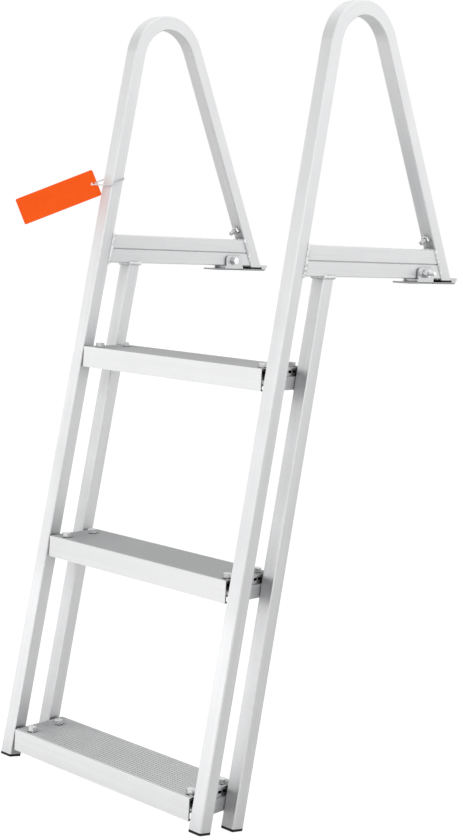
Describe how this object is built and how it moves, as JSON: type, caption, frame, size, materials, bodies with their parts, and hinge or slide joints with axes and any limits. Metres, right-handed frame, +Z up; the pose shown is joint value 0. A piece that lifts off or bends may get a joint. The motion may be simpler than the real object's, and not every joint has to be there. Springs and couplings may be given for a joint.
{
  "type": "dock ladder",
  "caption": "Aluminium dock ladder: two bent square-tube side frames with looped handrails, hollow ribbed steps between them and two bolted deck brackets.",
  "frame": {"origin": "centre of the underside of the left deck bracket, where it lies on the dock", "axes": "+X along the steps toward the right side frame, +Y from the water to the dock, +Z up"},
  "size_m": [0.609, 0.5985, 1.3099],
  "materials": {
    "tube_aluminium": "satin anodised tube",
    "step_aluminium": "satin extrusion",
    "bracket_steel": "bright stainless sheet",
    "bolt_steel": "bright stainless",
    "black_plastic": "moulded",
    "orange_card": "coated card",
    "white_nylon": "nylon loop"
  },
  "bodies": {
    "root": {"bottom_left_angle": "step_aluminium", "bottom_right_angle": "step_aluminium", "bottom_step": "step_aluminium", "hang_tag": "orange_card", "left_bracket_bolt": "bolt_steel", "left_bracket_nut": "bolt_steel", "left_dock_bracket": "bracket_steel", "left_front_foot_cap": "black_plastic", "left_lower_beam": "tube_aluminium", "left_rail": "tube_aluminium", "left_rail_bolt": "bolt_steel", "left_rail_cap": "black_plastic", "left_rail_nut": "bolt_steel", "left_rear_foot_cap": "black_plastic", "left_rear_leg": "tube_aluminium", "left_upper_beam": "tube_aluminium", "middle_left_angle": "step_aluminium", "middle_right_angle": "step_aluminium", "middle_step": "step_aluminium", "right_bracket_bolt": "bolt_steel", "right_bracket_nut": "bolt_steel", "right_dock_bracket": "bracket_steel", "right_front_foot_cap": "black_plastic", "right_lower_beam": "tube_aluminium", "right_rail": "tube_aluminium", "right_rail_bolt": "bolt_steel", "right_rail_cap": "black_plastic", "right_rail_nut": "bolt_steel", "right_rear_foot_cap": "black_plastic", "right_rear_leg": "tube_aluminium", "right_upper_beam": "tube_aluminium", "tag_loop": "white_nylon", "top_left_angle": "step_aluminium", "top_right_angle": "step_aluminium", "top_step": "step_aluminium"}
  },
  "joints": []
}
